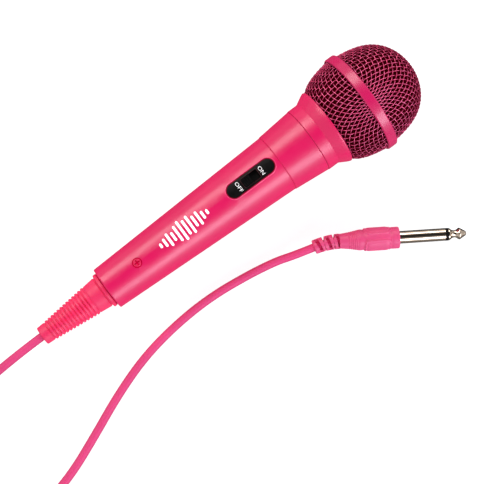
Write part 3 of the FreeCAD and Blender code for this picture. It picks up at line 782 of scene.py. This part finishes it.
dome = weave("woven_dome", DOME, False, 2.40, 0.25, math.radians(-13.5 - 45.0), lambda u: u > 155.0, M["grille_wire"], 3)
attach(dome, "microphone")
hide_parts("grille_dome")
CAP = [(126.6, 0.0), (126.95, 4.2), (127.8, 8.4), (129.1, 12.3), (130.4, 15.3)]
bowl = weave("woven_bowl", CAP + BOWL, True, 2.40, 0.25, math.radians(-19.0 - 45.0), lambda u: (u > 132.9) & (u < 153.6), M["grille_wire"], 5)
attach(bowl, "microphone")
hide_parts("grille_bowl")


# ------------------------------------------------------------------ foam lining
def foam(name, outer, d0, d1, node, closed_at_axis):
    o = dense(outer, 4)
    a, b = offset_line(o, d0), offset_line(o, d1)
    if closed_at_axis:
        a = [p for p in a if p[1] > 0.05] + [(outer[-1][0] - d0, 0.02)]
        b = [p for p in b if p[1] > 0.05] + [(outer[-1][0] - d1, 0.02)]
    loop = a + b[::-1]

    def cells(u, r, ang):
        v = Vector((u * 0.7, r * math.sin(ang) * 0.7, r * math.cos(ang) * 0.7))
        return max(0.02, r - 0.28 * abs(noise.noise(v * 2.2)) - 0.12 * abs(noise.noise(v * 5.0)))
    ob = lathe(name, loop, mic, M["foam"], 144, cells, True, 60)
    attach(ob, "microphone")
    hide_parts(node)
    return ob


foam("foam_lining_bowl", BOWL[1:-1] + [(153.4, 25.93)], 1.25, 3.5, "foam_bowl", False)
foam("foam_lining_dome", [(157.1, 25.43)] + DOME[1:], 1.25, 3.5, "foam_dome", True)


# ------------------------------------------------------------------ strain relief boot
def boot_r(u):
    return 4.72 + 0.1056 * (u + 33.6)


FIRST, PITCH, RIBS = -34.45, 1.91, 13
bp = [(-38.85, 2.3), (-38.85, 4.2), (-38.80, 4.45), (-38.66, 4.62), (-38.45, 4.72), (-38.1, 4.77)]
for k in range(1, 10):
    bp.append((-38.1 + 3.55 * k / 10, 4.77 + 0.18 * k / 10))
for i in range(RIBS):
    u0 = FIRST + i * PITCH
    c = boot_r(u0 + 1.2) + 0.55
    q = boot_r(u0 + 0.3)
    bp += [(u0 + 0.02, q + 0.10), (u0 + 0.10, q + 0.0), (u0 + 0.22, q - 0.06), (u0 + 0.36, q - 0.08), (u0 + 0.50, q - 0.06), (u0 + 0.60, q + 0.02),
           (u0 + 0.66, q + 0.14), (u0 + 0.70, c - 0.16), (u0 + 0.76, c - 0.05), (u0 + 0.88, c + 0.0), (u0 + 1.1, c - 0.01), (u0 + 1.35, c - 0.03),
           (u0 + 1.6, c - 0.06), (u0 + 1.76, c - 0.12), (u0 + 1.84, c - 0.22), (u0 + 1.88, c - 0.32)]
u1 = FIRST + RIBS * PITCH
bp += [(u1 + 0.1, boot_r(u1) + 0.02), (u1 + 0.3, boot_r(u1) - 0.02), (u1 + 0.42, boot_r(u1) + 0.02), (u1 + 0.52, 7.30), (u1 + 0.60, 7.47), (u1 + 0.75, 7.57)]
for k in range(1, 8):
    bp.append((u1 + 0.75 + (-3.2 - u1 - 0.75) * k / 7, 7.57 + 0.62 * k / 7))
bp += [(-3.0, 8.20), (-2.86, 8.12), (-2.72, 7.90), (-2.58, 7.86), (-2.42, 7.92), (-2.30, 8.20), (-2.2, 8.6), (-2.15, 8.85), (-2.12, 9.02), (-2.02, 9.22), (-1.86, 9.31), (-1.65, 9.32), (-0.9, 9.32), (-0.62, 9.30),
       (-0.48, 9.2), (-0.42, 9.02), (-0.41, 8.88), (-0.38, 8.60), (-0.30, 8.50), (-0.07, 8.48), (-0.06, 8.2), (-0.06, 6.98), (0.0, 6.93), (1.0, 6.93), (2.6, 6.93), (2.68, 7.0), (2.68, 8.5), (2.8, 8.58), (4.5, 8.58), (4.62, 8.5),
       (4.62, 4.6), (4.8, 4.48), (11.3, 4.48), (11.47, 4.3), (11.47, 2.3), (11.3, 2.2), (-38.6, 2.2)]
DEEP = []
for i in range(RIBS):
    DEEP.append((FIRST + i * PITCH + 0.34, (0.60 if i < RIBS - 4 else 0.24), (0.22 if i < RIBS - 4 else 0.55)))


def boot_radius(u, r, ang):
    """Grooves are cut deeper along the upper and lower middle, where the moulding is slotted."""
    if r < 4.4 or u > -9.0:
        return r
    d = 0.0
    for (uc, half, depth) in DEEP:
        x = abs(u - uc)
        if x < 0.42:
            w = 1 - smooth(x, 0.24, 0.42)
            off = abs((ang + math.radians(7) + math.pi / 2) % math.pi - math.pi / 2)
            d += depth * w * (1 - smooth(off, half, half + 0.22))
    return r - d


boot = lathe("boot_ribbed", bp, mic, M["boot"], 120, boot_radius, True, 32)
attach(boot, "microphone")
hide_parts("strain_relief_boot")


# ------------------------------------------------------------------ painted shade rings in the seams and the tail gap, and the tail screw
# dark rings laid in the seam grooves: painted shade in the joints
for nm, prof in (("seam_shade_ring_front", [(121.80, 16.6), (121.80, 17.04), (121.87, 17.13), (122.03, 17.16), (122.2, 17.15), (122.3, 17.08), (122.3, 16.6)]),
                 ("seam_shade_ring_rear", [(103.16, 14.6), (103.16, 15.06), (103.2, 15.12), (103.28, 15.16), (103.36, 15.15), (103.4, 15.08), (103.4, 14.6)])):
    ring = lathe(nm, prof, mic, M["shade" if nm == "seam_shade_ring_front" else "rear_seam_painted_shade"], 192)
    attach(ring, "microphone")

# dark ring in the gap between the boot flange and the handle's end: painted shade
gap = lathe("tail_gap_shade_ring", [(-0.40, 8.55), (-0.40, 9.0), (-0.36, 9.04), (-0.06, 9.04), (-0.02, 9.0), (-0.02, 8.55)], mic, M["rear_seam_painted_shade"], 160)
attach(gap, "microphone")

SLOPE = math.atan(4.0 / 102.7)


def screw_at(x, y, z):
    """Screw frame (mm): z out of the handle's surface, to the row frame."""
    c_, s_ = math.cos(SLOPE), math.sin(SLOPE)
    return mic(19.3 + x * c_ - z * s_, y, r_out(19.3) + x * s_ + z * c_)


verts, faces, recess_shade_faces = [], [], []
NR, NA_ = 26, 96


def cross_arm(x, y):
    return min(max(abs(x) - 1.50, abs(y) - 0.36), max(abs(y) - 1.50, abs(x) - 0.36))


def screw_top(x, y, rr):
    z = -0.10 - 0.10 * (rr / 2.2) ** 2 - 0.22 * smooth(rr, 1.78, 2.0)
    return z - 0.42 * (1 - smooth(cross_arm(x, y), -0.06, 0.05))


verts.append(screw_at(0.0, 0.0, screw_top(0.0, 0.0, 0.0)))
rings = [(2.0 * q / NR, None) for q in range(1, NR + 1)]
rings += [(2.04, -0.50), (2.53, -0.40), (2.53, -1.05), (2.45, -1.08), (1.45, -1.08), (1.45, -7.6), (1.25, -7.8)]
for rr, z in rings:
    for k in range(NA_):
        a = 2 * math.pi * k / NA_
        x, y = rr * math.cos(a), rr * math.sin(a)
        verts.append(screw_at(x, y, screw_top(x, y, rr) if z is None else z))
verts.append(screw_at(0.0, 0.0, -7.8))
for k in range(NA_):
    faces.append((0, 1 + k, 1 + (k + 1) % NA_))
    recess_shade_faces.append(1)
for q in range(len(rings) - 1):
    for k in range(NA_):
        l = (k + 1) % NA_
        a0, b0 = 1 + q * NA_, 1 + (q + 1) * NA_
        faces.append((a0 + k, b0 + k, b0 + l, a0 + l))
        a = 2 * math.pi * k / NA_
        x, y = rings[q][0] * math.cos(a), rings[q][0] * math.sin(a)
        # faces in the cross recess and round the head's edge take the darker paint: painted shade
        recess_shade_faces.append(1 if q >= NR - 1 or cross_arm(x, y) < 0.0 else 0)
e0 = 1 + (len(rings) - 1) * NA_
for k in range(NA_):
    faces.append((e0 + k, len(verts) - 1, e0 + (k + 1) % NA_))
    recess_shade_faces.append(1)
screw = new_object("tail_screw_head", verts, faces, M["screw"], 40)
screw.data.materials.append(M["screw_lines"])
for p, d_ in zip(screw.data.polygons, recess_shade_faces):
    p.material_index = d_
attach(screw, "microphone")
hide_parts("tail_screw")


# ------------------------------------------------------------------ plug moulding
BODY = [(-30.0, 3.68), (-29.2, 3.72), (-27.8, 3.88), (-26.6, 4.04), (-25.2, 4.26), (-24.2, 4.44), (-23.2, 4.63), (-22.2, 4.83), (-21.2, 5.03), (-20.2, 5.21),
        (-19.2, 5.36), (-18.1, 5.46), (-17.1, 5.62), (-16.1, 5.79), (-15.1, 5.88), (-12.0, 5.87), (-9.0, 5.88), (-7.0, 5.90), (-6.0, 5.78), (-5.0, 5.56), (-4.3, 5.46)]
bs = np.array(BODY)


def body_r(s):
    return float(np.interp(s, bs[:, 0], bs[:, 1]))


outline = [(-30.0, 0.05), (-30.0, 3.42), (-29.97, 3.58), (-29.88, 3.66)]
s = -29.7
while s < -4.4:
    outline.append((s, body_r(s)))
    s += 0.11
outline += [(-4.2, 5.455), (-4.05, 5.455), (-3.9, 5.455), (-3.75, 5.455), (-3.6, 5.45), (-2.6, 5.45), (-1.6, 5.45),
            (-0.8, 5.45), (-0.4, 5.45), (-0.2, 5.40), (-0.08, 5.30), (-0.02, 5.18), (0.0, 5.05), (0.0, 4.0), (0.0, 3.2), (-0.1, 3.02), (-10.0, 3.02), (-10.1, 2.05), (-14.0, 1.95), (-14.0, 0.05)]


def body_radius(s, r, ang):
    if r < 3.6 or s > -0.5:
        return r
    # thumb grips: a raised panel wraps each side; a narrow channel parts them above and below
    side = abs(abs((ang + math.pi) % (2 * math.pi) - math.pi) - math.pi / 2)
    x = s + 11.05
    hx_, hy_, cr = 6.55, 7.7, 2.3
    qx, qy = abs(x) - (hx_ - cr), side * 5.9 - (hy_ - cr)
    dist = cr - math.hypot(max(qx, 0.0), max(qy, 0.0)) - min(max(qx, qy), 0.0)     # + inside
    low = smooth(s, -20.6, -17.0) * (1 - smooth(s, -4.9, -4.0))
    r -= 0.42 * low * (1 - smooth(dist, -0.22, 0.22))
    r += 0.16 * math.exp(-((dist - 0.42) / 0.28) ** 2) * low
    r -= 0.10 * math.exp(-((dist - 1.15) / 0.45) ** 2) * low
    # fine rib lines behind the grips
    if -26.3 < s < -20.2:
        ph = (s + 26.3) / 0.92
        edge = smooth(s, -26.3, -25.4) * (1 - smooth(s, -21.2, -20.3))
        r -= 0.22 * edge * (0.5 + 0.5 * math.cos(2 * math.pi * ph)) ** 3
    # a shallow step in front of the grips
    r -= 0.16 * math.exp(-((s + 3.9) / 0.22) ** 2)
    return r


body = lathe("plug_moulding", outline, plug, M["plug_moulding"], 144, body_radius, True, 40)
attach(body, "microphone")
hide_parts("plug_body")

# relief behind the moulding: rings joined by slanting webs, bending towards the cord
R0 = Vector((SHOULDER[0] - 30.02 * PHX, SHOULDER[1] - 30.02 * PHY, SHOULDER[2]))
R1 = R0 + Vector((-PHX, -PHY, 0)) * 6.0
R2 = Vector((22.84327, -42.74384, 5.28002))
verts, faces = [], []
NS, NA = 200, 108
length = 12.95
cut = []
for i in range(NS + 1):
    t = i / NS
    c = R0 * ((1 - t) ** 2) + R1 * (2 * t * (1 - t)) + R2 * (t * t)
    d = ((R1 - R0) * (2 * (1 - t)) + (R2 - R1) * (2 * t)).normalized()
    left = Vector((0, 0, 1)).cross(d).normalized()
    upv = d.cross(left)
    x = t * length
    R_ = 3.86 - 0.26 * t
    for k in range(NA):
        a = 2 * math.pi * k / NA
        # openings round the front, and between them openings round the far side, all on a slant.
        # a = 0 is up; sin(a) = -1 is the left of the plug's heading (d points to the cord)
        lft = -math.sin(a)
        deep = 0.0
        for g in range(3):
            for turned in (0, math.pi):
                b = a + turned
                off = abs((b - math.radians(8) + math.pi) % (2 * math.pi) - math.pi)
                xc = 0.66 + g * 4.95 + 0.70 * lft * (1 if turned == 0 else -1)
                w = 1 - smooth(abs(x - xc), 0.66, 0.80)
                deep = max(deep, w * (1 - smooth(off, math.radians(72), math.radians(80))))
            # V-shaped gaps open to both sides
            for sgn in (1, -1):
                rise = sgn * lft
                xc = 3.10 + g * 4.95 - 0.30 * rise
                half = 0.62 * max(0.0, rise - 0.10) ** 0.7 if sgn > 0 else 0.42 * max(0.0, rise - 0.55) ** 0.5
                if g < 2:
                    deep = max(deep, (1 - smooth(abs(x - xc), max(0.0, half - 0.12), half + 0.05)) * smooth(rise, 0.10, 0.22) * (1.0 if sgn > 0 else 0.55))
        cut.append(deep)
        r_ = R_ - 1.75 * deep
        r_ -= 0.28 * (1 - smooth(length - x, 0.0, 0.35))
        p = c + (left * math.sin(a) + upv * math.cos(a)) * r_
        verts.append((p.x * MM, p.y * MM, p.z * MM))
for i in range(NS):
    for k in range(NA):
        l = (k + 1) % NA
        faces.append((i * NA + k, (i + 1) * NA + k, (i + 1) * NA + l, i * NA + l))
faces.append(tuple(range(NA)))
faces.append(tuple(NS * NA + k for k in range(NA))[::-1])
relief = new_object("plug_relief_rings", verts, faces, M["plug_moulding"], 40)
relief.data.materials.append(M["plug_slots"])
# faces cut deep into the openings take the darker vinyl: painted shade
for p in relief.data.polygons:
    if len(p.vertices) == 4 and sum(cut[v] for v in p.vertices) > 2.0:
        p.material_index = 1
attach(relief, "microphone")
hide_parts("plug_relief")


# ------------------------------------------------------------------ rolled lip round the switch plate
def lip(name, u_mid, half_l, half_w, material, wide=0.17, lift=0.10, base=-0.02):
    """A fine bead that follows the pocket's edge over the handle's curve."""
    path = []
    n_arc, n_line = 28, 16
    straight = half_l - half_w
    for k in range(n_line):
        path.append((-straight + 2 * straight * k / n_line, -half_w, 0.0, -1.0))
    for k in range(n_arc):
        a = -math.pi / 2 + math.pi * k / n_arc
        path.append((straight + half_w * math.cos(a), half_w * math.sin(a), math.cos(a), math.sin(a)))
    for k in range(n_line):
        path.append((straight - 2 * straight * k / n_line, half_w, 0.0, 1.0))
    for k in range(n_arc):
        a = math.pi / 2 + math.pi * k / n_arc
        path.append((-straight + half_w * math.cos(a), half_w * math.sin(a), math.cos(a), math.sin(a)))
    verts, faces, m_ = [], [], 10
    for (x, v, nx, nv) in path:
        for k in range(m_):
            b = 2 * math.pi * k / m_
            o, h = wide + wide * math.cos(b), base + lift * math.sin(b)
            verts.append(on_cone(u_mid + x + nx * o, v + nv * o, h))
    n = len(path)
    for i in range(n):
        j = (i + 1) % n
        for k in range(m_):
            l = (k + 1) % m_
            faces.append((i * m_ + k, j * m_ + k, j * m_ + l, i * m_ + l))
    return new_object(name, verts, faces, material, 60)


# ------------------------------------------------------------------ printed marks
def on_cone(u, v, lift, sink=0.0):
    r = r_out(u) - sink + lift
    return mic(u, v, math.sqrt(r * r - v * v))


def mark_patch(name, u0, u1, v0, v1, corner, lift=0.012, thick=0.03):
    """A rounded bar printed on the handle: a thin raised patch that follows its curve."""
    nu, nv = 5, max(4, int((v1 - v0) / 0.35))
    verts, faces = [], []
    for layer in (0, 1):
        for i in range(nu + 1):
            for j in range(nv + 1):
                fu, fv = i / nu, j / nv
                v = v0 + (v1 - v0) * fv
                e = min(v - v0, v1 - v)
                half = (u1 - u0) / 2
                pull = half - math.sqrt(max(0.0, half * half - max(0.0, half - e) ** 2)) if e < half else 0.0
                u = (u0 + u1) / 2 + (fu * 2 - 1) * (half - pull * 0.92)
                verts.append(on_cone(u, v, lift + (thick if layer else 0)))
    w = nv + 1
    off = (nu + 1) * w
    for i in range(nu):
        for j in range(nv):
            faces.append((off + i * w + j, off + i * w + j + 1, off + (i + 1) * w + j + 1, off + (i + 1) * w + j))
            faces.append((i * w + j, (i + 1) * w + j, (i + 1) * w + j + 1, i * w + j + 1))
    ring = [(0, j) for j in range(nv)] + [(i, nv) for i in range(nu)] + [(nu, j) for j in range(nv, 0, -1)] + [(i, 0) for i in range(nu, 0, -1)]
    for q in range(len(ring)):
        a, b = ring[q], ring[(q + 1) % len(ring)]
        faces.append((a[0] * w + a[1], b[0] * w + b[1], off + b[0] * w + b[1], off + a[0] * w + a[1]))
    return verts, faces


rim = lip("switch_plate_lip", 87.2, 27.7 / 2 + 0.08, 8.1 / 2 + 0.08, M["lip"], 0.2, 0.15)
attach(rim, "microphone")
edge = lip("switch_plate_edge", 87.2, 27.7 / 2 - 0.36, 8.1 / 2 - 0.36, M["edge_red"], 0.30, 0.09, -0.13)
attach(edge, "microphone")


def slot_frame(name, half_l, half_w, wide, corner):
    """A thin raised frame moulded round the knob's slot, following the curve of the plate; its reddish colour is a
    painted reflection of the pink handle.
    """
    def loop(grow, lift):
        pts = []
        r = corner + grow
        for cu, cv, a0 in ((1, 1, 0), (-1, 1, 90), (-1, -1, 180), (1, -1, 270)):
            for k in range(7):
                a = math.radians(a0 + 90 * k / 6)
                pts.append((cu * (half_l - corner) + r * math.cos(a), cv * (half_w - corner) + r * math.sin(a)))
        out = []
        for q, (u, v) in enumerate(pts):
            nu_, nv_ = pts[(q + 1) % len(pts)]
            for f in range(6):
                out.append(on_cone(87.2 + u + (nu_ - u) * f / 6, v + (nv_ - v) * f / 6, lift, 0.15))
        return out
    rows = [loop(0.0, 0.0), loop(0.0, 0.035), loop(0.05, 0.05), loop(wide - 0.05, 0.05), loop(wide, 0.035), loop(wide, 0.0)]
    n = len(rows[0])
    verts = [p for r_ in rows for p in r_]
    faces = []
    for k in range(len(rows)):
        a, b = k * n, ((k + 1) % len(rows)) * n
        for q in range(n):
            faces.append((a + q, b + q, b + (q + 1) % n, a + (q + 1) % n))
    return new_object(name, verts, faces, M["slot_line"], 40)


frame_ = slot_frame("switch_slot_frame", 9.3 / 2 + 0.04, 4.9 / 2 + 0.04, 0.28, 0.3)
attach(frame_, "microphone")

heights = [2.6, 4.6, 7.2, 5.0, 8.8, 11.0, 8.2, 10.0, 6.2, 7.6, 4.4, 2.8]
allv, allf = [], []
for i, h in enumerate(heights):
    uc = 33.4 + i * 2.5
    v, f = mark_patch("bar", uc - 0.62, uc + 0.62, -0.4 - h / 2, -0.4 + h / 2, 0.5)
    o = len(allv)
    allv += v
    allf += [tuple(o + q for q in g) for g in f]
bars = new_object("level_bars_mark", allv, [f[::-1] for f in allf], M["mark"], 30)
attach(bars, "microphone")


def label(name, text, x_mid, cap, width):
    """Generic switch word, printed across the plate, with its tops towards the head."""
    tc = bpy.data.curves.new(name + "_text", "FONT")
    tc.body = text
    tc.size = 1.0
    tc.extrude = 0.5
    tc.offset = -0.012
    tc.resolution_u = 4
    tmp = bpy.data.objects.new(name + "_tmp", tc)
    col.objects.link(tmp)
    bpy.context.view_layer.update()
    me = bpy.data.meshes.new_from_object(tmp.evaluated_get(bpy.context.evaluated_depsgraph_get()))
    bpy.data.objects.remove(tmp)
    bpy.data.curves.remove(tc)
    xs = [v.co.x for v in me.vertices]
    ys = [v.co.y for v in me.vertices]
    x0, x1, y0, y1 = min(xs), max(xs), min(ys), max(ys)
    for v in me.vertices:
        across = (v.co.x - x0) / (x1 - x0) - 0.5
        tall = (v.co.y - y0) / (y1 - y0) - 0.5
        u = 87.2 + x_mid + tall * cap
        v.co = on_cone(u, -across * width, 0.01 + (0.03 if v.co.z > 0 else 0.0), 0.15)
    me.materials.clear()
    me.materials.append(M["mark"])
    me.name = name
    ob = bpy.data.objects.new(name, me)
    col.objects.link(ob)
    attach(ob, "microphone")
    return ob


label("label_off", "OFF", -6.95, 1.75, 5.3)
label("label_on", "ON", 6.45, 1.75, 4.4)


# ------------------------------------------------------------------ floor, light
fm = Mat("floor_pale", (160, 160, 160), rough=0.9, spec=0.1)
fm.tint(fm.noise(0.004, 2.0), 0.99, 1.0)
fm.b.inputs["Emission Color"].default_value = (1, 1, 1, 1)
fm.b.inputs["Emission Strength"].default_value = 0.86
floor = new_object("floor", [(-4, -4, -0.0001), (4, -4, -0.0001), (4, 4, -0.0001), (-4, 4, -0.0001)], [(0, 1, 2, 3)], fm.m, None)
floor.visible_glossy = False


def area(name, place, target, wide, tall, radiance, colour=(1, 1, 1), roll_to=None):
    d = bpy.data.lights.new(name, "AREA")
    d.shape = "RECTANGLE"
    d.size, d.size_y = wide, tall
    d.energy = radiance * math.pi * wide * tall
    d.color = colour
    ob = bpy.data.objects.new(name, d)
    col.objects.link(ob)
    place, target = Vector(place), Vector(target)
    z = (place - target).normalized()
    x = Vector(roll_to or (1, 0, 0))
    x = (x - z * x.dot(z)).normalized()
    y = z.cross(x)
    ob.matrix_world = Matrix(((x.x, y.x, z.x, place.x), (x.y, y.y, z.y, place.y), (x.z, y.z, z.z, place.z), (0, 0, 0, 1)))
    ob.visible_camera = False
    return ob


axis = Vector((CT, 0, ST))
toward = (back - axis * back.dot(axis)).normalized()
side = axis.cross(toward)                       # to the right of the head's direction, seen from above
mid = Vector((0.02, 0.0, 0.015))
for sgn, nm, ang, shift, wide, radiance, tone in ((1, "softbox_right", 57, 0.55, 1.9, 4.5, (0.93, 0.97, 1.10)), (-1, "softbox_left", 49, 0.30, 2.4, 3.9, (1.03, 1.0, 0.98))):
    dirv = toward * math.cos(math.radians(ang)) + side * (sgn * math.sin(math.radians(ang)))
    area(nm, mid + dirv * 1.3 + axis * shift, mid + axis * shift, wide, 0.62, radiance * 1.05, tone, axis)

world = bpy.data.worlds.new("studio")
bpy.context.scene.world = world
world.use_nodes = True
wt = world.node_tree
wt.nodes.clear()
wo = wt.nodes.new("ShaderNodeOutputWorld")
bg = wt.nodes.new("ShaderNodeBackground")
tcw = wt.nodes.new("ShaderNodeTexCoord")
sx = wt.nodes.new("ShaderNodeSeparateXYZ")
rampw = wt.nodes.new("ShaderNodeValToRGB")
mr = wt.nodes.new("ShaderNodeMapRange")
mr.inputs["From Min"].default_value = -1.0
mr.inputs["From Max"].default_value = 1.0
e = rampw.color_ramp.elements
stops = [(0.0, 0.05), (0.44, 0.06), (0.475, 0.60), (0.53, 0.60), (0.66, 0.45), (0.90, 0.30), (0.965, 0.03), (1.0, 0.02)]
while len(e) < len(stops):
    e.new(0.5)
for el, (pos, v) in zip(e, stops):
    el.position = pos
    el.color = (v, v, v, 1)
wt.links.new(tcw.outputs["Generated"], sx.inputs[0])
wt.links.new(sx.outputs["Z"], mr.inputs["Value"])
wt.links.new(mr.outputs[0], rampw.inputs[0])
# a pale wall below the picture's lower side
dotn = wt.nodes.new("ShaderNodeVectorMath")
dotn.operation = "DOT_PRODUCT"
dotn.inputs[1].default_value = (-up.x, -up.y, -up.z)
mw = wt.nodes.new("ShaderNodeMapRange")
mw.inputs["From Min"].default_value = 0.10
mw.inputs["From Max"].default_value = 0.55
mw.inputs["To Min"].default_value = 0.0
mw.inputs["To Max"].default_value = 0.13
addw = wt.nodes.new("ShaderNodeVectorMath")
addw.operation = "ADD"
wt.links.new(tcw.outputs["Generated"], dotn.inputs[0])
wt.links.new(dotn.outputs["Value"], mw.inputs["Value"])
wt.links.new(rampw.outputs[0], addw.inputs[0])
wt.links.new(mw.outputs[0], addw.inputs[1])
wt.links.new(addw.outputs[0], bg.inputs["Color"])
bg.inputs["Strength"].default_value = 1.0
wt.links.new(bg.outputs[0], wo.inputs["Surface"])
